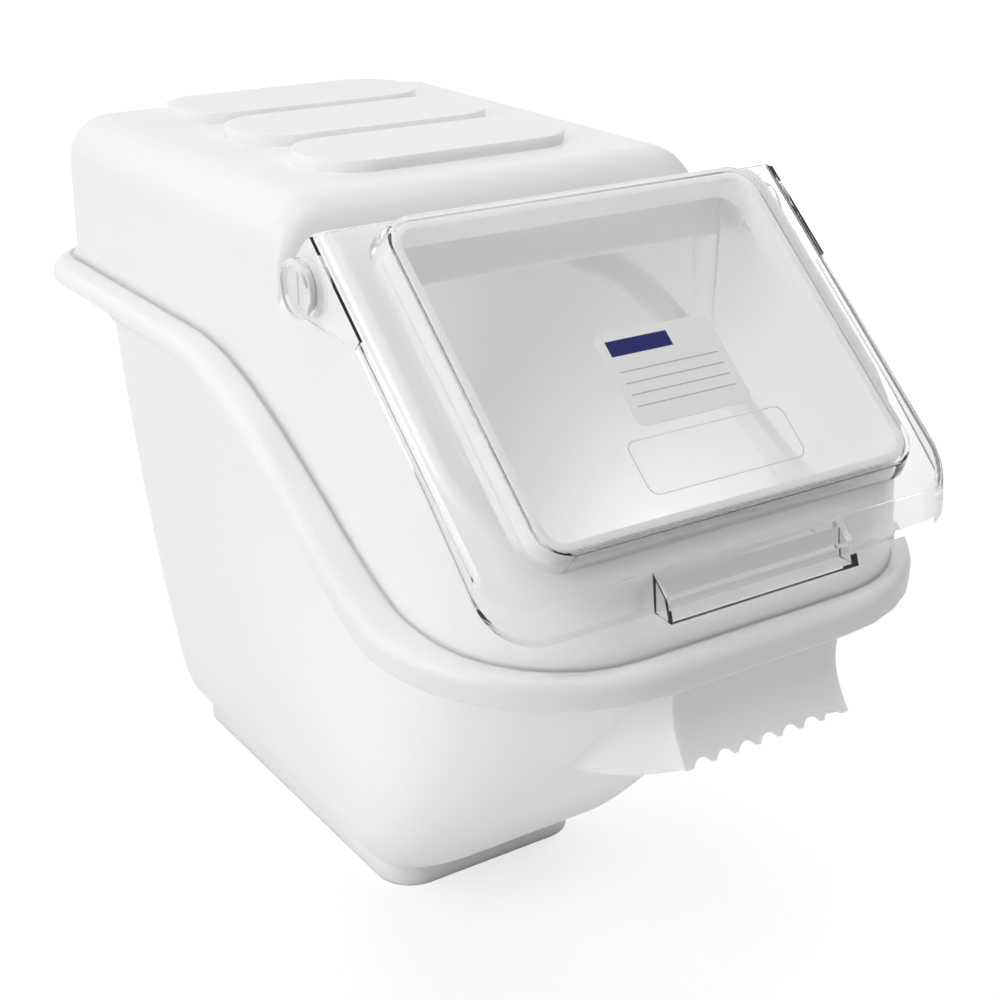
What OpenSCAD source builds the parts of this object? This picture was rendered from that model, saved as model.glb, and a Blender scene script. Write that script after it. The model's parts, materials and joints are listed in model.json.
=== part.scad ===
// Shelf ingredient bin: a tapered tub, a hood that drops into its rim, and a clear flip lid.
// +X is to the right, -Y is the front and +Z is up. The origin lies on the floor, in the
// middle of the bin's length and width. Every size is in millimetres.

/* [Overall] */
// Length from the lip of the hand grip to the back of the rim
bin_len = 527; // [515:1:545]
// Height to the top of the roof pads
bin_h = 430; // [424:1:450]

/* [Tub] */
// Width over the rolled rim
rim_w = 306; // [300:1:330]
// Height of the rim top at the front
rim_front_h = 249; // [246:1:256]
// Height of the rim top at the back
rim_back_h = 340; // [325:1:350]
// Rise of the rim between its front and the foot of the ramp
rim_dip = 4; // [0:0.5:8]
// Distance from the front of the rim to the foot of the ramp
ramp_start = 95; // [85:1:105]
// Length of the ramp between the low and the high stretch of the rim
ramp_len = 212; // [190:1:230]
// Radius of the rim's front corners, seen from above
rim_front_r = 98; // [92:1:106]
// Radius of the rim's back corners, seen from above
rim_back_r = 56; // [52:1:60]
// Depth of the rim's skirt at the front
skirt_front = 16.5; // [14:0.5:20]
// Depth of the rim's skirt at the back
skirt_back = 11; // [10:0.5:16]
// Radius of the rim's outer edge
rim_edge_r = 6; // [4:0.5:8]
// Reach of the rim beyond the back wall
rim_back_reach = 15; // [12:0.5:20]
// Width of the foot
foot_w = 133; // [125:1:140]
// Length of the foot
foot_len = 272; // [262:1:276]
// Height of the foot
foot_h = 12.5; // [8:0.5:16]
// Radius of the foot's corners
foot_r = 23; // [18:1:28]
// Wall thickness of the tub
tub_wall = 3; // [2:0.1:4]
// How far the belly swells past the foot
belly_out = 17; // [12:0.5:20]
// Height at which the belly ends
belly_h = 53; // [45:1:65]
// Outward lean of the side walls, in degrees
side_lean = 10.8; // [9:0.1:11.5]
// Forward lean of the front wall, in degrees
front_lean = 42; // [41:0.1:42.5]
// Outward lean of the back wall, in degrees
back_lean = 0.8; // [0:0.1:1.5]
// Growth of the front corners' radius for each millimetre of height
front_spread = 0.2; // [0.18:0.01:0.22]
// Growth of the back corners' radius from the foot to the height of the rim's back
back_growth = 92; // [86:1:98]

/* [Hand grip] */
// Width of the hand grip
grip_w = 100; // [90:1:120]
// Drop of the grip's front plate below the rim top
grip_drop = 51; // [48:1:58]
// How far the grip's lip stands out beyond the rim
grip_lip = 8.5; // [5:0.5:12]
// Thickness of the grip's front plate and cheeks
grip_t = 3.5; // [3:0.1:4]
// Number of finger scallops along the grip's lower edge
scallops = 7; // [5:1:9]
// Radius of a scallop
scallop_r = 6; // [5:0.25:6.5]

/* [Hood] */
// Width of the hood where it meets the rim
hood_w = 265; // [262:1:266]
// Setback of the hood behind the front of the rim
hood_set = 11.5; // [10:0.5:14]
// Distance from the hood's back to the back of the rim
hood_back_set = 8.5; // [8:0.5:12]
// Wall thickness of the hood
hood_wall = 3; // [2:0.1:3.5]
// Inward lean of the hood's side and back walls above the rim, in degrees
hood_draft = 0.6; // [0.2:0.1:1]
// Backward lean of the hood's front wall, in degrees
hood_front_lean = 8; // [7.5:0.1:9]
// Radius of the hood's front corners, seen from above
hood_front_r = 70; // [66:1:76]
// Radius of the hood's back corners, seen from above
hood_back_r = 32; // [28:1:38]
// Height of the flare at the hood's foot along its high stretch
flare_h = 8; // [5:0.5:9]
// Reach of the flare at the hood's foot along its high stretch
flare_out = 4; // [2:0.5:4.5]
// Radius of the edge around the roof
roof_edge_r = 26; // [20:1:28]
// Radius of the edge around the sloping mouth
mouth_edge_r = 7; // [4:0.5:8]
// Depth of the tongue that drops inside the tub
tongue = 12; // [8:0.5:14]
// Height of the raised pads on the roof
pad_h = 6.4; // [4:0.1:8]
// Width of a roof pad
pad_w = 160; // [150:1:170]
// Depth of a roof pad
pad_d = 66; // [50:1:70]
// Spacing of the roof pads
pad_pitch = 80; // [76:1:84]
// Position of the first pad's front edge along the bin's length
first_pad_y = -2; // [-10:1:4]
// Radius of a pad's corners
pad_r = 30; // [24:1:32]
// Width of the collar's lip around the mouth
collar_lip = 7.4; // [5:0.1:9]

/* [Lid] */
// Slope of the lid, in degrees
lid_slope = 41.1; // [40.5:0.1:41.5]
// Height of the lid's top edge above the floor
lid_top_h = 421.4; // [420:0.1:436]
// Width over the lid's skirts
lid_w = 277; // [274:0.5:279]
// Length of the lid's flat face, down the slope
lid_len = 199.7; // [198:0.1:201]
// Distance from the front of the hood to the lid's front fold
lid_front_gap = 1.8; // [1:0.1:3]
// Thickness of the lid
lid_t = 2.5; // [2:0.1:3]
// Depth of the lid's front skirt
lid_skirt = 12.8; // [11:0.1:15]
// Depth of the lid's side skirts
side_skirt = 9; // [8.5:0.1:11]
// Run of the front skirt down the slope past the fold
skirt_run = 14.3; // [13:0.1:15]
// Radius of the lid's side edges
lid_edge_r = 6; // [5:0.5:8]
// Radius of the lid's front corners
lid_corner_r = 27; // [24:1:32]
// Height of the window above the lid's face
dome_h = 11.5; // [9:0.1:13]
// Width over the top of the window
dome_w = 222.6; // [210:0.1:228]
// Distance from the lid's top edge to the window
dome_start = 4.7; // [4:0.1:7]
// Distance from the lid's top edge to the foot of the window
dome_end = 186.8; // [180:0.1:189]
// Spread of the window's walls from top to foot
dome_spread = 2.2; // [1:0.1:3]
// Radius of the window's corners
dome_r = 17; // [12:1:22]
// Width of the pull lip
lip_w = 112; // [90:1:130]
// How far the pull lip runs past the fold
lip_run = 14.5; // [10:0.5:16]

/* [Hinge] */
// Distance of the hinge axis below the lid's face
axis_drop = 27.6; // [27.2:0.1:28]
// Distance of the hinge axis down the slope from the lid's top edge
axis_down = 10.4; // [10:0.1:10.8]
// Outer radius of the hinge hubs
hub_r = 14.4; // [13:0.1:15]
// Width over both hinge hubs
hub_span = 286; // [284:1:290]
// Wall of the ring around the pin's head
hub_ring = 3; // [2.5:0.1:4]
// Depth of the recess for the pin's head
hub_recess = 5; // [4:0.1:5.5]
// Radius of the hinge pin
pin_r = 6; // [5:0.1:7]
// Thickness of the pin's head
pin_head_t = 3; // [2:0.1:3.5]
// Length of the pin inside the hood
pin_grip = 14; // [10:0.5:16]

/* [Label] */
// Width of the label
label_w = 68; // [50:1:90]
// Height of the label along the slope
label_d = 50; // [30:1:56]
// Distance from the lid's top edge to the middle of the label
label_down = 111; // [100:1:114]
// Radius of the label's corners
label_r = 5; // [2:0.5:8]
// Thickness of the label
label_t = 0.3; // [0.2:0.05:0.5]

/* [Clearances] */
// Gap between the hood and the rim that it stands on
seam_gap = 0.4; // [0.3:0.1:0.6]
// Gap between the hood's tongue and the tub's mouth
tongue_gap = 0.6; // [0.4:0.1:1]
// Gap between the lid and the collar that it rests on
seat_gap = 0.3; // [0.2:0.05:0.5]
// Gap between the window's walls and the collar
collar_gap = 1; // [0.9:0.1:1.5]
// Running gap between the hinge pin and the lid's bore
bore_gap = 0.3; // [0.2:0.05:0.5]
// Gap between the hinge pin and its socket in the hood
socket_gap = 0.15; // [0.1:0.05:0.2]
// Gap between the faces of the lid's ears, the bosses and the pin heads
face_gap = 0.3; // [0.2:0.05:0.5]
// Room around the lid as it swings past the hood
swing_gap = 0.9; // [0.6:0.1:1.2]

/* [Hidden] */
$fn = 64;

// Counts of steps around half an outline: front edge, corner and back edge.
front_steps = 3;
corner_steps = 8;
back_steps = 3;
tub_side_steps = 36;
lid_side_steps = 4;

// Tub
back_y = bin_len / 2;
rim_front_y = -bin_len / 2 + grip_lip;
ramp_y = rim_front_y + ramp_start;
wall_back_y = back_y - rim_back_reach;
foot_back = wall_back_y - (rim_back_h - foot_h) * tan(back_lean);
foot_front = foot_back - foot_len;
fillet_h = 14;
skirt_lip = 2;
ring_bias = 1.8;
ramp_bias = 0.8;
growth_bias = 1.7;
rim_outline = [rim_w / 2, rim_front_y, back_y, rim_front_r, rim_back_r];

// Hood
roof_h = bin_h - pad_h;
hood_front = rim_front_y + hood_set;
hood_back = back_y - hood_back_set;
mouth_back_set = 1;
mouth_back_y = wall_back_y - mouth_back_set;
mouth_back_r = 70;
hood_outline = [hood_w / 2, hood_front, hood_back, hood_front_r, hood_back_r];

// Lid: its face runs through the top edge at lid_top_y, lid_top_h.
fold_y = hood_front + lid_front_gap;
lid_top_y = fold_y + lid_len * cos(lid_slope);
skirt_pitch = skirt_run / lid_skirt;
dome_seat = dome_h - lid_t - seat_gap;

// Hinge axis
axis_y = lid_top_y - axis_down * cos(lid_slope) + axis_drop * sin(lid_slope);
axis_z = lid_top_h - axis_down * sin(lid_slope) - axis_drop * cos(lid_slope);
ear_in = lid_w / 2 - lid_t;
barrel_r = axis_drop - lid_t - swing_gap;
dome_sweep_r = norm([axis_down - dome_start, axis_drop + dome_h]);
rear_sweep_r = norm([axis_down, axis_drop]);
trough_h = axis_z - rear_sweep_r / 2 + swing_gap;
trough_back = axis_y + dome_sweep_r + swing_gap / 2;
roof_front_r = 18;
trough_draft = 0.2;

function lerp(a, b, t) = a + (b - a) * t;
function clamp01(t) = min(1, max(0, t));
function spread(a, b, n) = [for (i = [0:n]) lerp(a, b, i / n)];

// Height of the rim's top at y: a low stretch, a ramp and a high stretch.
function ramp_share(y) = pow(clamp01((y - ramp_y) / ramp_len), ramp_bias);
function ramp_ease(y) = let (s = ramp_share(y)) s * s * (3 - 2 * s);
function rim_low(y) = rim_front_h + rim_dip * clamp01((y - rim_front_y) / ramp_start);
function rim_top(y) = lerp(rim_low(y), rim_back_h, ramp_ease(y));
function skirt_h(y) = lerp(skirt_front, skirt_back, ramp_ease(y));

// Outline [half width, front, back, front radius, back radius] pulled in by d.
function inset(o, d) = [o[0] - d, o[1] + d, o[2] - d, o[3] - d, o[4] - d];

// Point k of the right half of an outline, from the middle of its front to the middle of
// its back; sides lists the y of each step along the side.
function side_start() = front_steps + corner_steps;
function half_steps(sides) = side_start() + len(sides) - 1 + corner_steps + back_steps;
function outline_point(o, sides, k) =
    let (back_arc = side_start() + len(sides) - 1)
    k < front_steps ? [(o[0] - o[3]) * k / front_steps, o[1]] :
    k <= side_start() ? arc_point([o[0] - o[3], o[1] + o[3]], o[3],
        -90 + 90 * (k - front_steps) / corner_steps) :
    k < back_arc ? [o[0], sides[k - side_start()]] :
    k < back_arc + corner_steps ? arc_point([o[0] - o[4], o[2] - o[4]], o[4],
        90 * (k - back_arc) / corner_steps) :
    [(o[0] - o[4]) * (1 - (k - back_arc - corner_steps) / back_steps), o[2]];
function arc_point(c, r, a) = [c[0] + r * cos(a), c[1] + r * sin(a)];

// A closed ring: the right half, then its mirror image.
function ring(half) = concat(half,
    [for (k = [len(half) - 2:-1:1]) [-half[k][0], half[k][1], half[k][2]]]);

// Solid between rings of equal length; both ends are closed by strips across the width. The
// points along the front and the back edge lie in line, so a fan joins them to their neighbour.
function fan(n, first, last, apex) =
    [for (i = [first:last - 1]) [(i + n) % n, (i + 1 + n) % n, apex]];
function end_cap(n) = let (half = n / 2, back = half - back_steps) concat(
    fan(n, -front_steps, front_steps, front_steps + 1),
    [[front_steps + 1, n - front_steps - 1, n - front_steps]],
    [for (k = [front_steps + 1:back - 2]) each [[k, k + 1, n - k], [k + 1, n - k - 1, n - k]]],
    [[back - 1, half + back_steps, half + back_steps + 1]],
    fan(n, back, half + back_steps, back - 1));

module skin(rings) {
    n = len(rings[0]);
    last = (len(rings) - 1) * n;
    walls = [for (j = [0:len(rings) - 2]) for (i = [0:n - 1])
        let (a = j * n + i, b = j * n + (i + 1) % n)
        each [[a, a + n, b], [b, a + n, b + n]]];
    start = end_cap(n);
    end = [for (f = start) [last + f[0], last + f[2], last + f[1]]];
    polyhedron(points = [for (r = rings) each r], faces = concat(walls, start, end), convexity = 10);
}

// ---- Tub ----

// Outline of the tub's outer wall at height z.
function belly(z) = belly_out * sin(90 * clamp01((z - foot_h) / (belly_h - foot_h)));
function wall_outline(z) = let (rise = max(0, z - foot_h), b = belly(z)) [
    foot_w / 2 + b + rise * tan(side_lean),
    foot_front - b - rise * tan(front_lean),
    foot_back + rise * tan(back_lean),
    foot_r + b + rise * front_spread,
    foot_r + b + back_growth * pow(rise / rim_back_h, growth_bias)];
function inner_outline(z) = let (o = inset(wall_outline(z), tub_wall))
    [o[0], o[1] + tub_wall * (1 / cos(front_lean) - 1), o[2], o[3], o[4]];
function tub_point(o, k) =
    outline_point(o, spread(o[1] + o[3], o[2] - o[4], tub_side_steps), k);

// Height of point k where it lies drop below the rim's top; the wall leans, so it is
// found by repeating the step from the height before.
function settle(k, drop, inner, z, turns) = turns == 0 ? z :
    let (p = tub_point(inner ? inner_outline(z) : wall_outline(z), k))
    settle(k, drop, inner, rim_top(p[1]) - drop, turns - 1);
function under_rim(k) = settle(k, skirt_front + fillet_h, false, rim_back_h, settle_turns);
ledge_gap = 1;
settle_turns = 8;
function ledge_under(k) = settle(k, tongue + ledge_gap + tub_wall, true, rim_back_h, settle_turns);
function lift(p, z) = [p[0], p[1], z];

half_k = half_steps(spread(0, 1, tub_side_steps));
wall_rings = 12;
arc_rings = 5;
mouth_outline = [hood_w / 2 - hood_wall, hood_front + hood_wall, mouth_back_y,
    hood_front_r - hood_wall, mouth_back_r];

function foot_ring(d, z) =
    [for (k = [0:half_k]) lift(tub_point(inset(wall_outline(foot_h), d), k), z)];
function wall_ring(share) = [for (k = [0:half_k])
    let (z = lerp(foot_h, under_rim(k), share)) lift(tub_point(wall_outline(z), k), z)];
function inner_ring(share) = [for (k = [0:half_k])
    let (z = lerp(foot_h, ledge_under(k), share)) lift(tub_point(inner_outline(z), k), z)];
function bend(a, b, c, t) = a * (1 - t) * (1 - t) + 2 * b * t * (1 - t) + c * t * t;
function fillet_ring(t) = [for (k = [0:half_k])
    let (z = under_rim(k),
        p = tub_point(inset(rim_outline, skirt_lip), k),
        end = rim_top(p[1]) - skirt_h(p[1]),
        turn = end - skirt_lip / 2)
    bend(lift(tub_point(wall_outline(z), k), z), lift(tub_point(wall_outline(turn), k), turn),
        lift(p, end), t)];
function rim_ring(d, drop) = [for (k = [0:half_k])
    let (p = tub_point(inset(rim_outline, d), k)) lift(p, rim_top(p[1]) - drop)];
function skirt_ring(d, up) = [for (k = [0:half_k])
    let (p = tub_point(inset(rim_outline, d), k))
    lift(p, rim_top(p[1]) - skirt_h(p[1]) + up)];
function seat_ring() = [for (k = [0:half_k])
    let (p = tub_point(inset(hood_outline, -flare_out), k)) lift(p, rim_top(p[1]))];
function mouth_ring(drop) = [for (k = [0:half_k])
    let (p = tub_point(mouth_outline, k)) lift(p, rim_top(p[1]) - drop)];

module tub_shell() {
    skin([for (half = concat(
        [foot_ring(0, 0)],
        [for (i = [0:wall_rings]) wall_ring(pow(i / wall_rings, ring_bias))],
        [for (i = [1:arc_rings]) fillet_ring(i / arc_rings)],
        [skirt_ring(0, skirt_lip)],
        [for (i = [0:arc_rings]) let (a = 90 * i / arc_rings)
            rim_ring(rim_edge_r * (1 - cos(a)), rim_edge_r * (1 - sin(a)))],
        [seat_ring()],
        [mouth_ring(0)],
        [mouth_ring(tongue + ledge_gap)],
        [for (i = [wall_rings:-1:0]) inner_ring(pow(i / wall_rings, ring_bias))],
        [foot_ring(tub_wall, tub_wall)])) ring(half)]);
}

// Side shape of the grip: y and z of its front plate's outer face, from the top down.
grip_top_z = rim_front_h - skirt_front + grip_t;
grip_bottom_z = rim_front_h - grip_drop;
grip_lip_y = -bin_len / 2;
grip_hollow = 2.5;
grip_steps = 8;
function grip_face(s) = [
    lerp(rim_front_y + skirt_lip, grip_lip_y, s * s) + grip_hollow * sin(180 * s),
    lerp(grip_top_z, grip_bottom_z, s)];

// Point of the cheeks' rear edge, sunk in the front wall at height z.
function cheek_root(z) = [wall_outline(z)[1] + tub_wall / 2, z];
cheek_drop = 44;
cheek_sag = 4;

module grip_plate() {
    face = [for (i = [0:grip_steps]) grip_face(i / grip_steps)];
    back = [for (i = [grip_steps:-1:0]) grip_face(i / grip_steps) + [grip_t, 0]];
    along_x(grip_w) polygon(concat(face, back));
}

module grip_cheek() {
    face = [for (i = [0:grip_steps]) grip_face(i / grip_steps) + [grip_t / 2, 0]];
    foot = cheek_root(grip_bottom_z - cheek_drop);
    edge = [for (s = [0.2:0.2:0.8]) lerp(face[grip_steps], foot, s) - [0, cheek_sag * sin(180 * s)]];
    along_x(grip_t)
        polygon(concat(face, edge, [foot, cheek_root(grip_bottom_z), cheek_root(grip_top_z)]));
}

// Extrudes an outline drawn in y and z along x, centred.
module along_x(w) {
    rotate([90, 0, 90])
        linear_extrude(w, center = true) children();
}

module scallop_cuts() {
    pitch = (grip_w - 2 * grip_t) / scallops;
    for (i = [0:scallops - 1])
        translate([(i - (scallops - 1) / 2) * pitch, grip_lip_y - grip_t, grip_bottom_z - scallop_r / 2])
            rotate([-90, 0, 0])
                cylinder(h = 3 * grip_t, r = scallop_r);
}

module tub() {
    color("white") {
        tub_shell();
        difference() {
            grip_plate();
            scallop_cuts();
        }
        for (side = [-1, 1])
            translate([side * (grip_w - grip_t) / 2, 0, 0]) grip_cheek();
    }
}

// ---- Hood ----

// Height of the mouth's sloping face at y, sunk by t below it.
function slope_drop() = lid_t + swing_gap;
function slope_z(y, t) =
    lid_top_h + (y - lid_top_y) * tan(lid_slope) - (slope_drop() + t) / cos(lid_slope);

// Steps along the hood's side, from the front corner to the back corner: [y, z, edge radius].
// t is the depth below the outer skin, so the same rule draws the inside.
slope_steps = 8;
barrel_steps = 9;
roof_steps = 15;
edge_steps = 5;
barrel_start = 90 + lid_slope;
barrel_face_y = axis_y + barrel_r;
function barrel_point(a, t) =
    [axis_y + (barrel_r - t) * cos(a), axis_z + (barrel_r - t) * sin(a), mouth_edge_r];
function roof_round(a, t) = [
    trough_back + roof_front_r + (roof_front_r - t) * cos(a),
    roof_h - roof_front_r + (roof_front_r - t) * sin(a),
    roof_edge_r];
function side_profile(t) = let (
    first = hood_front + hood_front_r,
    last = axis_y + (barrel_r - t) * cos(barrel_start),
    end = hood_back - hood_back_r)
    concat(
        [for (i = [0:slope_steps - 1]) let (y = lerp(first, last, i / slope_steps))
            [y, slope_z(y, t), mouth_edge_r]],
        [for (i = [0:barrel_steps]) barrel_point(barrel_start * (1 - i / barrel_steps), t)],
        [[barrel_face_y - t + trough_draft, trough_h - t, mouth_edge_r],
            [trough_back + t - trough_draft, trough_h - t, mouth_edge_r]],
        [for (i = [0:edge_steps]) roof_round(180 - 90 * i / edge_steps, t)],
        [for (i = [1:roof_steps]) let (y = lerp(trough_back + roof_front_r, end, i / roof_steps))
            [y, roof_h - t, roof_edge_r]]);

outer_profile = side_profile(0);
inner_profile = side_profile(hood_wall);
hood_k = half_steps(outer_profile);
side_end = side_start() + len(outer_profile) - 1;

function profile_y(p) = [for (s = p) s[0]];
function hood_inset(z) = max(0, z - rim_back_h) * tan(hood_draft);

// Outline of the walls at height z, pulled in by d; the front leans back to its corners.
function hood_walls(d, z) = let (
    o = inset(hood_outline, d + hood_inset(z)),
    back = (z - rim_front_h) * tan(hood_front_lean) - hood_inset(z))
    [o[0], o[1] + back, o[2], o[3] - back, o[4]];

// Turn of the edge above point k of the front, from the wall to the slope.
function front_turn(k) =
    90 - atan(tan(lid_slope) * cos(90 * clamp01((k - front_steps) / corner_steps)));

// Height at which the edge above point k meets the slope, found by repeated steps.
function front_top(k, t, z, turns) = turns == 0 ? z :
    let (d = t + (mouth_edge_r - t) * (1 - cos(front_turn(k))))
    front_top(k, t, slope_z(outline_point(hood_walls(d, z), [], k)[1], t), turns - 1);

// Top of the hood above point k: [z, edge radius, turn of the edge].
function hood_top(k, t) = let (p = t == 0 ? outer_profile : inner_profile)
    k <= side_start() ? [front_top(k, t, rim_back_h, settle_turns), mouth_edge_r, front_turn(k)] :
    k < side_end ? [p[k - side_start()][1], p[k - side_start()][2], 90] :
        [roof_h - t, roof_edge_r, 90];
function hood_point(k, d, z, t) = lift(outline_point(hood_walls(d + t, z),
    profile_y(t == 0 ? outer_profile : inner_profile), k), z);
function hood_edge_ring(share, t) = [for (k = [0:hood_k])
    let (top = hood_top(k, t), r = top[1] - t, a = top[2] * share)
    hood_point(k, r * (1 - cos(a)), top[0] - r * (sin(top[2]) - sin(a)), t)];

// Steps along the side of outline o; behind the ramp, where the rim is level, they are spaced
// out again to end where the outline's own back corner starts.
function seam_sides(o) = let (
    level = ramp_y + ramp_len,
    share = (o[2] - o[4] - level) / (hood_back - hood_back_r - level))
    [for (y = profile_y(outer_profile)) y <= level ? y : level + (y - level) * share];
function seam_ring(o, up) = let (sides = seam_sides(o))
    [for (k = [0:hood_k]) let (p = outline_point(o, sides, k))
        lift(p, rim_top(p[1]) + seam_gap + up)];

// The foot flares out over the rim, most along the high stretch.
flare_steps = 4;
flare_low = 0.2;
function flare_ring(a) = [for (k = [0:hood_k])
    let (side = profile_y(outer_profile),
        share = lerp(flare_low, 1, ramp_ease(outline_point(hood_outline, side, k)[1])),
        out = flare_out * share * (1 - sin(a)),
        p = outline_point(inset(hood_outline, -out), side, k))
    lift(p, rim_top(p[1]) + seam_gap + flare_h * share * (1 - cos(a)))];

module hood_shell() {
    tongue_out = inset(mouth_outline, tongue_gap);
    tongue_in = inset(tongue_out, hood_wall);
    skin([for (half = concat(
        [for (i = [edge_steps:-1:0]) hood_edge_ring(i / edge_steps, hood_wall)],
        [seam_ring(inset(hood_outline, hood_wall), flare_h)],
        [seam_ring(tongue_in, hood_wall)],
        [seam_ring(tongue_in, -tongue)],
        [seam_ring(tongue_out, -tongue)],
        [seam_ring(tongue_out, 0)],
        [for (i = [0:flare_steps]) flare_ring(90 * i / flare_steps)],
        [for (i = [0:edge_steps]) hood_edge_ring(i / edge_steps, 0)])) ring(half)]);
}

// Rounded plate of width w and depth d, centred on x, from y0 up to y0 + d.
module rounded_plate(w, d, r, h) {
    linear_extrude(h)
        union() {
            translate([-w / 2 + r, 0]) square([w - 2 * r, d]);
            translate([-w / 2, r]) square([w, d - 2 * r]);
            for (x = [-1, 1])
                for (y = [r, d - r])
                    translate([x * (w / 2 - r), y]) circle(r);
        }
}

// Places children in the lid's frame: x across, y up the slope from the top edge, z outward.
module on_lid() {
    translate([0, lid_top_y, lid_top_h])
        rotate([lid_slope, 0, 0]) children();
}

collar_w = dome_w - 2 * lid_t - 2 * collar_gap;
collar_top = dome_start + lid_t + collar_gap;
collar_foot = dome_end - lid_t - collar_gap;
mouth_w = dome_w - 2 * collar_lip;
mouth_top = dome_start + collar_lip;
mouth_foot = dome_end - collar_lip;

module collar() {
    on_lid()
        translate([0, -collar_foot, -slope_drop() - hood_wall])
            rounded_plate(collar_w, collar_foot - collar_top, dome_r - lid_t - collar_gap,
                slope_drop() + hood_wall + dome_seat);
}

module mouth_cut() {
    depth = 10 * hood_wall;
    on_lid()
        translate([0, -mouth_foot, -depth])
            rounded_plate(mouth_w, mouth_foot - mouth_top, dome_r - collar_lip, depth + dome_h);
}

module pads() {
    for (i = [0:2])
        translate([0, first_pad_y + i * pad_pitch, roof_h - hood_wall / 2])
            rounded_plate(pad_w, pad_d, pad_r, pad_h + hood_wall / 2);
}

// Places children on the hinge axis at the given side, with z pointing outward.
module at_hinge(side, x) {
    translate([side * x, axis_y, axis_z])
        rotate([0, side * 90, 0]) children();
}

socket_r = pin_r + socket_gap;
boss_wall = 4;
boss_end = ear_in - face_gap;
boss_len = pin_grip + boss_wall;

module hinge_boss(side) {
    at_hinge(side, boss_end - boss_len) cylinder(h = boss_len, r = socket_r + boss_wall);
}

module socket_cut(side) {
    at_hinge(side, boss_end - pin_grip - 1) cylinder(h = pin_grip + 2, r = socket_r);
}

module hood() {
    color("white") {
        difference() {
            union() {
                hood_shell();
                collar();
                pads();
                for (side = [-1, 1]) hinge_boss(side);
            }
            mouth_cut();
            for (side = [-1, 1]) socket_cut(side);
        }
    }
}

// ---- Lid ----

lid_k = half_steps(spread(0, 1, lid_side_steps));
function slope_ring(o, z) = [for (k = [0:lid_k])
    lift(outline_point(o, spread(o[1] + o[3], o[2] - o[4], lid_side_steps), k), z)];

// Outlines of the skirts at depth n below the face, for the outer face (t = 0) and for the
// room under the lid (t = lid_t); the round along their edge is drawn by its angle a.
back_corner_r = 1;
round_steps = 4;
function round_n(a, t) = lid_edge_r - (lid_edge_r - t) * sin(a);
function round_in(a, t) = t + (lid_edge_r - t) * (1 - cos(a));
function skirt_outline(n, in, t, back) = [lid_w / 2 - in,
    -lid_len - n * skirt_pitch + t * norm([1, skirt_pitch]), back, lid_corner_r - t, back_corner_r];
function round_ring(a, t, back) =
    slope_ring(skirt_outline(round_n(a, t), round_in(a, t), t, back), -round_n(a, t));

// Lower edge of the skirts: level along the sides and deeper along the front.
function skirt_end_ring() = [for (k = [0:lid_k])
    let (v = -slope_ring(skirt_outline(lid_edge_r, 0, 0, 0), 0)[k][1],
        share = clamp01(1 + (v - lid_len) / (2 * lid_corner_r)),
        n = lerp(side_skirt, lid_skirt, share * share * (3 - 2 * share)))
    slope_ring(skirt_outline(n, 0, 0, 0), -n)[k]];
dome_edge_r = 1.5;
dome_steps = 2;
dome_side_spread = 2;
function dome_outline(share) = let (s = dome_spread * share)
    [dome_w / 2 + s * dome_side_spread, -dome_end - s, -dome_start + s, dome_r + s, dome_r + s];

module lid_outer() {
    skin([for (half = concat(
        [skirt_end_ring()],
        [for (i = [0:round_steps]) round_ring(90 * i / round_steps, 0, 0)],
        [slope_ring(dome_outline(1), 0)],
        [for (i = [0:dome_steps]) let (a = 90 * i / dome_steps)
            slope_ring(inset(dome_outline(0), dome_edge_r * (1 - cos(a))),
                dome_h - dome_edge_r * (1 - sin(a)))])
        ) ring(half)]);
}

// Room under the lid; it runs out past the top edge, where the lid has no skirt.
module lid_inner() {
    back = 2 * lid_t;
    depth = 4 * lid_skirt;
    skin([for (half = concat(
        [slope_ring(skirt_outline(depth, lid_t, lid_t, back), -depth)],
        [for (i = [0:round_steps]) round_ring(90 * i / round_steps, lid_t, back)],
        [slope_ring(inset(dome_outline(1), lid_t), -lid_t)],
        [slope_ring(inset(dome_outline(0), lid_t), dome_h - lid_t)])) ring(half)]);
}

// Point of the side view at v down the slope and n outward from the lid's face.
function lid_side(v, n) = [
    lid_top_y - v * cos(lid_slope) - n * sin(lid_slope),
    lid_top_h - v * sin(lid_slope) + n * cos(lid_slope)];

ear_proud = 0.4;
ear_out = lid_w / 2 + ear_proud;
ear_top_share = 0.4;
ear_top_n = lid_edge_r * ear_top_share;
ear_fore = 58;
ear_turns = [[0, -1], [0.5, -0.87], [1, 0], [0.64, 0.77]];

module ear(side) {
    w = ear_out - ear_in + 1;
    translate([side * (ear_out - w / 2), 0, 0])
        along_x(w) polygon(concat(
            [lid_side(0, -ear_top_n), lid_side(ear_fore, -ear_top_n), lid_side(ear_fore, -side_skirt)],
            [for (t = ear_turns) [axis_y, axis_z] + hub_r * t]));
    at_hinge(side, ear_in - 1) cylinder(h = hub_span / 2 - ear_in + 1, r = hub_r);
}

module ear_bore(side) {
    at_hinge(side, ear_in - lid_t) cylinder(h = hub_span / 2 - ear_in + 2 * lid_t, r = pin_r + bore_gap);
    at_hinge(side, hub_span / 2 - hub_recess) cylinder(h = 2 * hub_recess, r = hub_r - hub_ring);
}

// The pull lip: a short box on the front skirt, open underneath.
lip_nose = 5.2;
lip_step = 9.4;
skirt_foot = lid_len + skirt_run;

module lip_block() {
    along_x(lip_w) polygon([
        lid_side(lid_len - lid_t, 0),
        lid_side(lid_len + lip_run, 0),
        lid_side(lid_len + lip_run + lip_step, -lip_nose),
        lid_side(skirt_foot, -lid_skirt)]);
}

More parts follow.
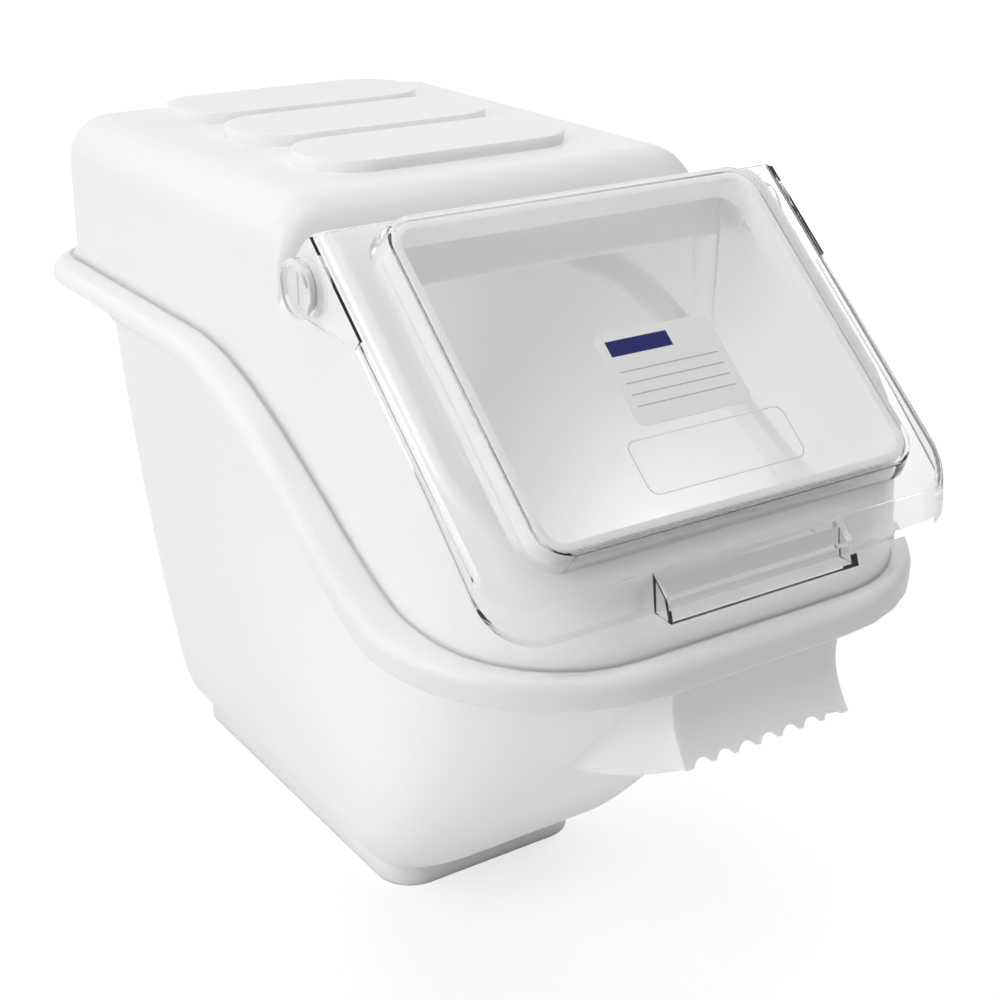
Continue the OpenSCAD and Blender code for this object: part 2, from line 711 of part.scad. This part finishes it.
module lip_hollow() {
    t = lid_t;
    along_x(lip_w - 2 * t) polygon([
        lid_side(lid_len + 1.5 * t, -t),
        lid_side(lid_len + lip_run - t, -t),
        lid_side(lid_len + lip_run + lip_step - t, -lip_nose - t),
        lid_side(lid_len + lip_run + lip_step + t, -lid_skirt - 2 * t),
        lid_side(skirt_foot + t, -lid_skirt - t)]);
}

module lid() {
    color("LightCyan", 0.35)
        difference() {
            union() {
                on_lid() lid_outer();
                for (side = [-1, 1]) ear(side);
                lip_block();
            }
            on_lid() lid_inner();
            for (side = [-1, 1]) ear_bore(side);
            lip_hollow();
        }
}

// ---- Hinge pins ----

head_in = hub_span / 2 - hub_recess + face_gap;
pin_end = boss_end - pin_grip;
pin_lead = 1.5;
slot_w = 2.2;
slot_depth = 1.2;
slot_share = 0.7;

module hinge_pin(side) {
    head_r = hub_r - hub_ring - bore_gap;
    slot_half = head_r * slot_share;
    color("white")
        difference() {
            union() {
                at_hinge(side, head_in) cylinder(h = pin_head_t, r = head_r);
                at_hinge(side, pin_end + pin_lead) cylinder(h = head_in - pin_end, r = pin_r);
                at_hinge(side, pin_end) cylinder(h = pin_lead, r1 = pin_r - pin_lead / 2, r2 = pin_r);
            }
            at_hinge(side, head_in + pin_head_t - slot_depth)
                translate([-slot_half, -slot_w / 2, 0])
                    cube([2 * slot_half, slot_w, 2 * slot_depth]);
        }
}

// ---- Label ----

module label() {
    color("white")
        on_lid()
            translate([0, -label_down - label_d / 2, dome_h])
                rounded_plate(label_w, label_d, label_r, label_t);
}

tub();
hood();
lid();
hinge_pin(-1);  // hinge_pin_left
hinge_pin(1);  // hinge_pin_right
label();
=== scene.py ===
# %% [markdown]
# # A rice bin with a clear flip lid
# The real object is three big mouldings: a white tub, a white hood that sits in the tub's rim, and a
# clear lid that turns on two short pins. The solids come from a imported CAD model, which fixes every
# size and every joint. Here they get their smooth skins, their finishes and their light.

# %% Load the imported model
import json
import math

import bmesh
import bpy
from mathutils import Euler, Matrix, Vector

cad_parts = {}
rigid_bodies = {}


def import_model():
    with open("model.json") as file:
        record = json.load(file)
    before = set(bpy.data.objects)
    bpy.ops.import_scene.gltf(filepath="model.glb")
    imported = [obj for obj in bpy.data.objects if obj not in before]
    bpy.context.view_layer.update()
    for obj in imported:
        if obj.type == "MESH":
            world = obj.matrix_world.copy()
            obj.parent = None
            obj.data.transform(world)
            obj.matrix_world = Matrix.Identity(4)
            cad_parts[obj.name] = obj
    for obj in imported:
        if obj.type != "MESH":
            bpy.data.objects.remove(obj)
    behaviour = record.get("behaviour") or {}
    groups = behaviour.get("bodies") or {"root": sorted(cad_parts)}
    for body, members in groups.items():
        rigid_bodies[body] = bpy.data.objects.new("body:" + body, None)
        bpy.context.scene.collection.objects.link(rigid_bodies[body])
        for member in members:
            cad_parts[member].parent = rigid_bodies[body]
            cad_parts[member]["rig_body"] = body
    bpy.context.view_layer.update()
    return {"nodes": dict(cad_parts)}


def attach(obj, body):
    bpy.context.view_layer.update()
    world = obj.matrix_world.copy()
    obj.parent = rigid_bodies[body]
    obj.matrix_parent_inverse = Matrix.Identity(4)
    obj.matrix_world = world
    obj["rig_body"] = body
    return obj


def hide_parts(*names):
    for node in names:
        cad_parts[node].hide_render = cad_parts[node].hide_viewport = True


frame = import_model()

scene = bpy.context.scene
print("nodes", sorted(frame["nodes"]))

# %% [markdown]
# ## The camera
# The bin is seen from its front left and from a little above. The lens is a mild telephoto, which keeps
# the long side and the tapered front close to their true proportions.

# %% Place the camera
camera_place = (-0.5018, -0.7912, 0.6188)
camera_tilt = math.radians(67.33)
camera_turn = math.radians(-33.63)
camera_lens_mm = 63.77

camera_data = bpy.data.cameras.new("camera")
camera_data.lens = camera_lens_mm
camera_data.sensor_width = 36.0
camera_data.clip_start = 0.02
camera = bpy.data.objects.new("camera", camera_data)
camera.location = camera_place
camera.rotation_euler = Euler((camera_tilt, 0.0, camera_turn))
scene.collection.objects.link(camera)
scene.camera = camera
scene.view_settings.view_transform = "Standard"
print("camera", tuple(round(v, 3) for v in camera.location))

# %% [markdown]
# ## Small helpers for node trees
# Every finish below is built from a few nodes. Three helpers keep each material short enough to read:
# one adds a node with its values, one makes an empty material, and one marks a stripe of a coordinate.


# %% Helpers that build node trees
def add_node(tree, kind, **values):
    node = tree.nodes.new(kind)
    for name, value in values.items():
        if name in node.inputs:
            node.inputs[name].default_value = value
        else:
            setattr(node, name, value)
    return node


def new_material(name):
    material = bpy.data.materials.new(name)
    material.use_nodes = True
    material.node_tree.nodes.clear()
    return material, material.node_tree


def band(tree, source, low, high):
    """1 where the source lies between low and high, otherwise 0."""
    above = add_node(tree, "ShaderNodeMath", operation="GREATER_THAN")
    below = add_node(tree, "ShaderNodeMath", operation="LESS_THAN")
    both = add_node(tree, "ShaderNodeMath", operation="MULTIPLY")
    above.inputs[1].default_value = low
    below.inputs[1].default_value = high
    tree.links.new(source, above.inputs[0])
    tree.links.new(source, below.inputs[0])
    tree.links.new(above.outputs[0], both.inputs[0])
    tree.links.new(below.outputs[0], both.inputs[1])
    return both.outputs[0]


print("helpers", [helper.__name__ for helper in (add_node, new_material, band)])


# %% [markdown]
# ## White moulded plastic
# Moulded plastic isn't one flat white. Its colour drifts a little over large areas, its sheen varies
# where the mould was polished unevenly, and its skin has a very fine orange peel. Three noise textures
# on object coordinates give those three things, each at its own scale. The wall is only 3 mm thick and
# lets some daylight through. Light that scatters under the surface gives that, and it also softens the
# shading of every rounded edge, which a plain diffuse white can't do.


# %% White plastic
def white_plastic(name, light, dark, roughness, peel_scale, peel_depth, scatter_depth):
    drift_scale, polish_scale, polish_spread = 5.0, 38.0, 0.05
    material, tree = new_material(name)
    output = add_node(tree, "ShaderNodeOutputMaterial")
    shader = add_node(tree, "ShaderNodeBsdfPrincipled", IOR=1.5)
    shader.inputs["Subsurface Weight"].default_value = 1.0
    shader.inputs["Subsurface Radius"].default_value = (1.0, 1.0, 1.0)
    shader.inputs["Subsurface Scale"].default_value = scatter_depth
    place = add_node(tree, "ShaderNodeTexCoord")
    drift = add_node(tree, "ShaderNodeTexNoise", Scale=drift_scale, Detail=2.0)
    tint = add_node(tree, "ShaderNodeValToRGB")
    tint.color_ramp.elements[0].position = 0.3
    tint.color_ramp.elements[0].color = (*dark, 1.0)
    tint.color_ramp.elements[1].position = 0.7
    tint.color_ramp.elements[1].color = (*light, 1.0)
    polish = add_node(tree, "ShaderNodeTexNoise", Scale=polish_scale, Detail=3.0)
    sheen = add_node(tree, "ShaderNodeMapRange")
    sheen.inputs["To Min"].default_value = roughness - polish_spread
    sheen.inputs["To Max"].default_value = roughness + polish_spread
    peel = add_node(tree, "ShaderNodeTexNoise", Scale=peel_scale, Detail=2.0)
    bump = add_node(tree, "ShaderNodeBump", Strength=0.35, Distance=peel_depth)
    for texture in (drift, polish, peel):
        tree.links.new(place.outputs["Object"], texture.inputs["Vector"])
    tree.links.new(drift.outputs["Fac"], tint.inputs["Fac"])
    tree.links.new(tint.outputs["Color"], shader.inputs["Base Color"])
    tree.links.new(polish.outputs["Fac"], sheen.inputs["Value"])
    tree.links.new(sheen.outputs["Result"], shader.inputs["Roughness"])
    tree.links.new(peel.outputs["Fac"], bump.inputs["Height"])
    tree.links.new(bump.outputs["Normal"], shader.inputs["Normal"])
    tree.links.new(shader.outputs["BSDF"], output.inputs["Surface"])
    return material


shell_light, shell_dark = (0.955, 0.955, 0.957), (0.935, 0.935, 0.94)
pin_light, pin_dark = (0.82, 0.82, 0.83), (0.78, 0.78, 0.79)
shell_scatter, pin_scatter = 0.004, 0.003

tub_white = white_plastic(
    "tub_white", shell_light, shell_dark,
    roughness=0.42, peel_scale=520.0, peel_depth=0.0002, scatter_depth=shell_scatter,
)
hood_white = white_plastic(
    "hood_white", shell_light, shell_dark,
    roughness=0.36, peel_scale=560.0, peel_depth=0.00015, scatter_depth=shell_scatter,
)
pin_white = white_plastic(
    "pin_white", pin_light, pin_dark,
    roughness=0.3, peel_scale=900.0, peel_depth=0.0001, scatter_depth=pin_scatter,
)
print("white finishes", tub_white.name, hood_white.name, pin_white.name)

# %% [markdown]
# ## Clear lid plastic
# A clear lid is a thin shell with two skins, so light bends on the way in and again on the way out.
# Its flat window hardly shows, while its rounded edges gather dark and bright lines. A polished moulding
# still has a faint waviness, which is what makes those lines look real. Bent light from a lamp is slow to
# trace, so rays towards a lamp pass straight through instead.


# %% Clear plastic
def clear_plastic(name):
    wave_scale, wave_depth, haze_scale = 14.0, 0.0006, 60.0
    haze_low, haze_high = 0.02, 0.07
    material, tree = new_material(name)
    output = add_node(tree, "ShaderNodeOutputMaterial")
    shader = add_node(tree, "ShaderNodeBsdfPrincipled", IOR=1.5)
    shader.inputs["Base Color"].default_value = (0.94, 0.945, 0.945, 1.0)
    shader.inputs["Transmission Weight"].default_value = 1.0
    place = add_node(tree, "ShaderNodeTexCoord")
    wave = add_node(tree, "ShaderNodeTexNoise", Scale=wave_scale, Detail=1.0)
    haze = add_node(tree, "ShaderNodeTexNoise", Scale=haze_scale, Detail=3.0)
    gloss = add_node(tree, "ShaderNodeMapRange")
    gloss.inputs["To Min"].default_value = haze_low
    gloss.inputs["To Max"].default_value = haze_high
    bump = add_node(tree, "ShaderNodeBump", Strength=0.12, Distance=wave_depth)
    for texture in (wave, haze):
        tree.links.new(place.outputs["Object"], texture.inputs["Vector"])
    tree.links.new(haze.outputs["Fac"], gloss.inputs["Value"])
    tree.links.new(gloss.outputs["Result"], shader.inputs["Roughness"])
    tree.links.new(wave.outputs["Fac"], bump.inputs["Height"])
    tree.links.new(bump.outputs["Normal"], shader.inputs["Normal"])
    through = add_node(tree, "ShaderNodeBsdfTransparent")
    path = add_node(tree, "ShaderNodeLightPath")
    mix = add_node(tree, "ShaderNodeMixShader")
    tree.links.new(path.outputs["Is Shadow Ray"], mix.inputs[0])
    tree.links.new(shader.outputs["BSDF"], mix.inputs[1])
    tree.links.new(through.outputs[0], mix.inputs[2])
    tree.links.new(mix.outputs[0], output.inputs["Surface"])
    return material


clear = clear_plastic("lid_clear")
print("clear finish", clear.name)

# %% [markdown]
# ## Smooth skins over the CAD solids
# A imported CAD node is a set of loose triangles, so it would shade as flat facets. Each moulding is copied,
# its doubled corners are merged, and its normals are weighted by face area. Long flat faces then stay flat,
# and the rounded edges between them shade as one curve. The shape itself isn't changed.


# %% A smooth copy of a CAD node
def smooth_copy(node, name, material, angle):
    weld = 1e-5
    mesh = frame["nodes"][node].data.copy()
    mesh.name = name
    skin = bmesh.new()
    skin.from_mesh(mesh)
    bmesh.ops.remove_doubles(skin, verts=skin.verts, dist=weld)
    for face in skin.faces:
        face.smooth = True
    for edge in skin.edges:
        edge.smooth = len(edge.link_faces) == 2 and edge.calc_face_angle(0.0) < angle
    skin.to_mesh(mesh)
    skin.free()
    mesh.materials.clear()
    mesh.materials.append(material)
    piece = bpy.data.objects.new(name, mesh)
    scene.collection.objects.link(piece)
    weights = piece.modifiers.new("weights", "WEIGHTED_NORMAL")
    weights.keep_sharp = True
    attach(piece, frame["nodes"][node]["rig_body"])
    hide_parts(node)
    print(name, len(mesh.polygons), "faces")


shell_crease, lid_crease, pin_crease = math.radians(38), math.radians(25), math.radians(30)

smooth_copy("tub", "tub_skin", tub_white, shell_crease)
smooth_copy("hood", "hood_skin", hood_white, shell_crease)
smooth_copy("lid", "lid_skin", clear, lid_crease)
smooth_copy("hinge_pin_left", "pin_left", pin_white, pin_crease)
smooth_copy("hinge_pin_right", "pin_right", pin_white, pin_crease)

# %% [markdown]
# ## The sticker
# The lid carries a small white sticker. It names nobody: it has one plain blue band and a few pale rules,
# like a blank contents label. The pattern is laid out in the sticker's own plane, so the object
# coordinates are first turned by the slope of the lid. The slope and the top edge are the CAD model's own.
# A Mix node has several sockets with the same name, so its colour sockets are picked by number. Thin
# paper on clear plastic glows a little from behind, so a very shallow scatter is added to it.


# %% Sticker finish
def sticker_paper(name, slope, top_y, top_z):
    band_across, band_down = (-0.0289, 0.0070), (-0.0987, -0.0903)
    rule_across, rule_count = (-0.0290, 0.0290), 4
    first_rule, rule_step, rule_width = -0.1075, 0.0062, 0.0007
    navy, grey = (0.001, 0.008, 0.17, 1.0), (0.55, 0.55, 0.56, 1.0)
    colour_a, colour_b, colour_out = 6, 7, 2
    material, tree = new_material(name)
    output = add_node(tree, "ShaderNodeOutputMaterial")
    shader = add_node(tree, "ShaderNodeBsdfPrincipled", IOR=1.45)
    shader.inputs["Roughness"].default_value = 0.38
    shader.inputs["Subsurface Weight"].default_value = 1.0
    shader.inputs["Subsurface Radius"].default_value = (1.0, 1.0, 1.0)
    shader.inputs["Subsurface Scale"].default_value = 0.0006
    place = add_node(tree, "ShaderNodeTexCoord")
    shift = add_node(tree, "ShaderNodeVectorMath", operation="SUBTRACT")
    shift.inputs[1].default_value = (0.0, top_y, top_z)
    turn = add_node(tree, "ShaderNodeVectorRotate", rotation_type="X_AXIS")
    turn.inputs["Angle"].default_value = -slope
    split = add_node(tree, "ShaderNodeSeparateXYZ")
    tree.links.new(place.outputs["Object"], shift.inputs[0])
    tree.links.new(shift.outputs[0], turn.inputs["Vector"])
    tree.links.new(turn.outputs[0], split.inputs[0])
    across, down = split.outputs["X"], split.outputs["Y"]
    paper = add_node(tree, "ShaderNodeTexNoise", Scale=300.0, Detail=3.0)
    fibre = add_node(tree, "ShaderNodeValToRGB")
    fibre.color_ramp.elements[0].color = (0.93, 0.93, 0.935, 1.0)
    fibre.color_ramp.elements[1].color = (0.97, 0.97, 0.975, 1.0)
    tree.links.new(place.outputs["Object"], paper.inputs["Vector"])
    tree.links.new(paper.outputs["Fac"], fibre.inputs["Fac"])
    colour = fibre.outputs["Color"]
    marks = [(band_across, band_down, navy)]
    for rule in range(rule_count):
        low = first_rule - rule_step * rule
        marks.append((rule_across, (low, low + rule_width), grey))
    for wide, deep, ink in marks:
        both = add_node(tree, "ShaderNodeMath", operation="MULTIPLY")
        tree.links.new(band(tree, across, *wide), both.inputs[0])
        tree.links.new(band(tree, down, *deep), both.inputs[1])
        mix = add_node(tree, "ShaderNodeMix", data_type="RGBA")
        tree.links.new(both.outputs[0], mix.inputs["Factor"])
        tree.links.new(colour, mix.inputs[colour_a])
        mix.inputs[colour_b].default_value = ink
        colour = mix.outputs[colour_out]
    tree.links.new(colour, shader.inputs["Base Color"])
    tree.links.new(shader.outputs["BSDF"], output.inputs["Surface"])
    return material


lid_slope = math.radians(41.1)
lid_top_y = -0.09121
lid_top_z = 0.4214
label_paper = sticker_paper("label_paper", lid_slope, lid_top_y, lid_top_z)
label = frame["nodes"]["label"]
label.data.materials.clear()
label.data.materials.append(label_paper)

# %% [markdown]
# ## The raised outline under the sticker
# Below the sticker the lid has a shallow raised outline, like the frame of a writing field. It follows a
# rule: a rectangle with rounded corners, and a thin bead swept along it. Geometry Nodes suit that, since
# width, depth, corner and bead can each be set by name and tried out. The result is then a plain mesh.


# %% A bead along a rounded rectangle
def bead_tree(material):
    corner_steps, bead_sides = 8, 8
    tree = bpy.data.node_groups.new("bead_outline", "GeometryNodeTree")
    sizes = {}
    for name in ("Width", "Depth", "Corner", "Bead"):
        socket = tree.interface.new_socket(name, in_out="INPUT", socket_type="NodeSocketFloat")
        sizes[name] = socket.identifier
    tree.interface.new_socket("Geometry", in_out="OUTPUT", socket_type="NodeSocketGeometry")
    given = tree.nodes.new("NodeGroupInput")
    result = tree.nodes.new("NodeGroupOutput")
    field = tree.nodes.new("GeometryNodeCurvePrimitiveQuadrilateral")
    round_off = tree.nodes.new("GeometryNodeFilletCurve")
    round_off.mode = "POLY"
    round_off.inputs["Count"].default_value = corner_steps
    wire = tree.nodes.new("GeometryNodeCurvePrimitiveCircle")
    wire.inputs["Resolution"].default_value = bead_sides
    sweep = tree.nodes.new("GeometryNodeCurveToMesh")
    real = tree.nodes.new("GeometryNodeRealizeInstances")
    finish = tree.nodes.new("GeometryNodeSetMaterial")
    finish.inputs["Material"].default_value = material
    tree.links.new(given.outputs["Width"], field.inputs["Width"])
    tree.links.new(given.outputs["Depth"], field.inputs["Height"])
    tree.links.new(field.outputs[0], round_off.inputs["Curve"])
    tree.links.new(given.outputs["Corner"], round_off.inputs["Radius"])
    tree.links.new(given.outputs["Bead"], wire.inputs["Radius"])
    tree.links.new(round_off.outputs[0], sweep.inputs["Curve"])
    tree.links.new(wire.outputs[0], sweep.inputs["Profile Curve"])
    tree.links.new(sweep.outputs[0], real.inputs[0])
    tree.links.new(real.outputs[0], finish.inputs["Geometry"])
    tree.links.new(finish.outputs[0], result.inputs[0])
    return tree, sizes


def on_lid(across, down, out):
    """A place on the lid, from its middle line, its top edge and its face."""
    return Vector((
        across,
        lid_top_y - down * math.cos(lid_slope) - out * math.sin(lid_slope),
        lid_top_z - down * math.sin(lid_slope) + out * math.cos(lid_slope),
    ))


def lid_field(name, across, down, out, width, depth, corner, bead):
    tree, sizes = bead_tree(clear)
    holder = bpy.data.objects.new(name + "_rule", bpy.data.meshes.new(name + "_rule"))
    scene.collection.objects.link(holder)
    rule = holder.modifiers.new("rule", "NODES")
    rule.node_group = tree
    for size, value in (("Width", width), ("Depth", depth), ("Corner", corner), ("Bead", bead)):
        rule[sizes[size]] = value
    bpy.context.view_layer.update()
    mesh = bpy.data.meshes.new_from_object(holder.evaluated_get(bpy.context.evaluated_depsgraph_get()))
    holder.modifiers.remove(rule)
    bpy.data.objects.remove(holder)
    for corner_point in mesh.vertices:
        flat = corner_point.co.copy()
        corner_point.co = on_lid(across + flat.x, down - flat.y, out + flat.z)
    for face in mesh.polygons:
        face.use_smooth = True
    piece = bpy.data.objects.new(name, mesh)
    scene.collection.objects.link(piece)
    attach(piece, "lid")
    print(name, len(mesh.polygons), "faces")


field_across, field_down, dome_height = 0.001, 0.1555, 0.0115
field_width, field_depth, field_corner, field_bead = 0.092, 0.028, 0.005, 0.00035

lid_field(
    "writing_field", field_across, field_down, dome_height,
    field_width, field_depth, field_corner, field_bead,
)

# %% [markdown]
# ## The floor
# The bin stands on a white sweep. Near the bin the floor is half a matt surface, which takes the soft
# shadow, and half a glow, which keeps it white. Farther out the glow takes over, so that the picture ends
# in pure white. Bent and mirrored rays get less of the glow, and least of it towards the front, because a
# clear lid on plain white would otherwise vanish.


# %% Floor
def white_stage(name, near_share):
    near, far_off, matt_white, glow_strength = 0.45, 1.3, 0.85, 1.36
    front_dark, front_light, bent_share = -0.9, -0.3, 0.6
    material, tree = new_material(name)
    output = add_node(tree, "ShaderNodeOutputMaterial")
    matt = add_node(tree, "ShaderNodeBsdfDiffuse")
    matt.inputs["Color"].default_value = (matt_white, matt_white, matt_white, 1.0)
    glow = add_node(tree, "ShaderNodeEmission", Strength=glow_strength)
    place = add_node(tree, "ShaderNodeTexCoord")
    reach = add_node(tree, "ShaderNodeVectorMath", operation="LENGTH")
    fade = add_node(tree, "ShaderNodeMapRange", interpolation_type="SMOOTHSTEP")
    fade.inputs["From Min"].default_value = near
    fade.inputs["From Max"].default_value = far_off
    fade.inputs["To Min"].default_value = near_share
    split = add_node(tree, "ShaderNodeSeparateXYZ")
    front = add_node(tree, "ShaderNodeMapRange")
    front.inputs["From Min"].default_value = front_dark
    front.inputs["From Max"].default_value = front_light
    front.inputs["To Max"].default_value = bent_share
    path = add_node(tree, "ShaderNodeLightPath")
    indirect = add_node(tree, "ShaderNodeMath", operation="MAXIMUM")
    bent = add_node(tree, "ShaderNodeMath", operation="MULTIPLY")
    seen = add_node(tree, "ShaderNodeMath", operation="MAXIMUM")
    part = add_node(tree, "ShaderNodeMath", operation="MULTIPLY")
    mix = add_node(tree, "ShaderNodeMixShader")
    tree.links.new(place.outputs["Object"], reach.inputs[0])
    tree.links.new(reach.outputs["Value"], fade.inputs["Value"])
    tree.links.new(place.outputs["Object"], split.inputs[0])
    tree.links.new(split.outputs["Y"], front.inputs["Value"])
    tree.links.new(path.outputs["Is Glossy Ray"], indirect.inputs[0])
    tree.links.new(path.outputs["Is Transmission Ray"], indirect.inputs[1])
    tree.links.new(indirect.outputs[0], bent.inputs[0])
    tree.links.new(front.outputs["Result"], bent.inputs[1])
    tree.links.new(bent.outputs[0], seen.inputs[0])
    tree.links.new(path.outputs["Is Camera Ray"], seen.inputs[1])
    tree.links.new(seen.outputs[0], part.inputs[0])
    tree.links.new(fade.outputs["Result"], part.inputs[1])
    tree.links.new(part.outputs[0], mix.inputs[0])
    tree.links.new(matt.outputs[0], mix.inputs[1])
    tree.links.new(glow.outputs[0], mix.inputs[2])
    tree.links.new(mix.outputs[0], output.inputs["Surface"])
    return material


floor_half, floor_glow_share = 6.0, 0.5
floor_mesh = bpy.data.meshes.new("floor")
signs = ((-1, -1), (1, -1), (1, 1), (-1, 1))
floor_corners = [(floor_half * side, floor_half * end, 0) for side, end in signs]
floor_mesh.from_pydata(floor_corners, [], [(0, 1, 2, 3)])
floor = bpy.data.objects.new("floor", floor_mesh)
floor_mesh.materials.append(white_stage("floor_white", near_share=floor_glow_share))
scene.collection.objects.link(floor)
print("floor", 2 * floor_half, "m wide")

# %% [markdown]
# ## The sky
# Two skies share one world. The lighting sky is bright above and behind the bin and dim in front, so the
# front faces stay a shade darker than the sides. The other sky is what shows in the lid: white behind the
# bin and dim behind the camera, which gives clear edges something to bend. The camera itself sees white.


# %% World
def facing(tree, way, from_dot, to_dot, low, high):
    """A strength that grows from low to high as a ray turns towards one way."""
    place = add_node(tree, "ShaderNodeTexCoord")
    dot = add_node(tree, "ShaderNodeVectorMath", operation="DOT_PRODUCT")
    dot.inputs[1].default_value = way
    ramp = add_node(tree, "ShaderNodeMapRange")
    for name, value in (("From Min", from_dot), ("From Max", to_dot), ("To Min", low), ("To Max", high)):
        ramp.inputs[name].default_value = value
    tree.links.new(place.outputs["Generated"], dot.inputs[0])
    tree.links.new(dot.outputs["Value"], ramp.inputs["Value"])
    return ramp.outputs["Result"]


world = bpy.data.worlds.new("studio")
scene.world = world
world.use_nodes = True
sky = world.node_tree
sky.nodes.clear()
sky_out = add_node(sky, "ShaderNodeOutputWorld")
sky_light = add_node(sky, "ShaderNodeBackground")
sky_seen = add_node(sky, "ShaderNodeBackground")
for background in (sky_light, sky_seen):
    background.inputs["Color"].default_value = (1.0, 1.0, 1.0, 1.0)
light_way, view_way = (-0.35, 0.75, 0.56), (0.51, 0.77, -0.38)
daylight = facing(sky, light_way, from_dot=-0.7, to_dot=0.5, low=0.08, high=0.6)
backdrop = facing(sky, view_way, from_dot=-0.75, to_dot=0.2, low=0.3, high=0.86)
sky.links.new(daylight, sky_light.inputs["Strength"])
sky_path = add_node(sky, "ShaderNodeLightPath")
sky_white = add_node(sky, "ShaderNodeMath", operation="MAXIMUM")
sky.links.new(backdrop, sky_white.inputs[0])
sky.links.new(sky_path.outputs["Is Camera Ray"], sky_white.inputs[1])
sky.links.new(sky_white.outputs[0], sky_seen.inputs["Strength"])
camera_or_glossy = add_node(sky, "ShaderNodeMath", operation="MAXIMUM")
shown = add_node(sky, "ShaderNodeMath", operation="MAXIMUM")
sky_mix = add_node(sky, "ShaderNodeMixShader")
sky.links.new(sky_path.outputs["Is Camera Ray"], camera_or_glossy.inputs[0])
sky.links.new(sky_path.outputs["Is Glossy Ray"], camera_or_glossy.inputs[1])
sky.links.new(camera_or_glossy.outputs[0], shown.inputs[0])
sky.links.new(sky_path.outputs["Is Transmission Ray"], shown.inputs[1])
sky.links.new(shown.outputs[0], sky_mix.inputs[0])
sky.links.new(sky_light.outputs[0], sky_mix.inputs[1])
sky.links.new(sky_seen.outputs[0], sky_mix.inputs[2])
sky.links.new(sky_mix.outputs[0], sky_out.inputs["Surface"])
print("world nodes", len(sky.nodes))

# %% [markdown]
# ## The panels
# Three soft panels light the bin: the key on the left, a second one behind on the right, and a weak one
# above. Large panels were chosen over small lamps, because a white bin shows its shape only by slow,
# soft changes of shade. The panel behind shows in no reflection, so the roof keeps its even tone.


# %% Panels
def area_lamp(name, place, aim, size, power):
    data = bpy.data.lights.new(name, "AREA")
    data.shape = "SQUARE"
    data.size = size
    data.energy = power
    lamp = bpy.data.objects.new(name, data)
    lamp.location = place
    lamp.rotation_euler = (Vector(aim) - Vector(place)).to_track_quat("-Z", "Y").to_euler()
    scene.collection.objects.link(lamp)
    return lamp


key_watts, far_watts, top_watts = 29, 32, 13
large_panel, small_panel = 1.8, 1.4

area_lamp("key", (-2.6, -0.2, 1.7), (0, 0, 0.2), large_panel, key_watts)
far_lamp = area_lamp("far", (2.1, 1.2, 0.6), (0, 0.1, 0.2), large_panel, far_watts)
far_lamp.visible_glossy = False
area_lamp("top", (0.0, -0.3, 2.6), (0, -0.05, 0.2), small_panel, top_watts)
print("panels", key_watts, far_watts, top_watts, "W")

# %% [markdown]
# ## The lamp in the bin
# A thin-walled white bin is nearly as bright inside as outside, because light soaks through it from every
# side and bounces many times. Only a few bounces are traced here, so a small round lamp hidden in the bin
# stands in for that soaked light. It shows in no reflection and can't be seen through the lid.


# %% A round lamp
def round_lamp(name, place, radius, power):
    data = bpy.data.lights.new(name, "POINT")
    data.energy = power
    data.shadow_soft_size = radius
    lamp = bpy.data.objects.new(name, data)
    lamp.location = place
    lamp.visible_camera = False
    lamp.visible_glossy = False
    lamp.visible_transmission = False
    scene.collection.objects.link(lamp)


inner_place, inner_radius, inner_watts = (0.0, -0.05, 0.17), 0.06, 0.36

round_lamp("inner", inner_place, inner_radius, inner_watts)

# %% [markdown]
# ## A grey card for the clear edges
# Clear plastic on white has nothing to show its edges with. A studio puts a grey card beside it, out of
# sight, and the rounded edges bend that grey towards the camera. The card itself is hidden from the
# camera, takes no part in the soft light and throws no shadow.


# %% Grey card
def grey_card(name, corners, strength):
    mesh = bpy.data.meshes.new(name)
    mesh.from_pydata(corners, [], [(0, 1, 2, 3)])
    material, tree = new_material(name)
    output = add_node(tree, "ShaderNodeOutputMaterial")
    grey = add_node(tree, "ShaderNodeEmission", Strength=strength)
    tree.links.new(grey.outputs[0], output.inputs["Surface"])
    mesh.materials.append(material)
    card = bpy.data.objects.new(name, mesh)
    card.visible_camera = False
    card.visible_diffuse = False
    card.visible_shadow = False
    scene.collection.objects.link(card)
    return card


side, front_end, back_end, top = 0.95, -1.0, 0.45, 1.1
card_corners = [(side, front_end, 0), (side, back_end, 0), (side, back_end, top), (side, front_end, top)]

grey_card("card_right", card_corners, strength=0.3)
print("card", card_corners)
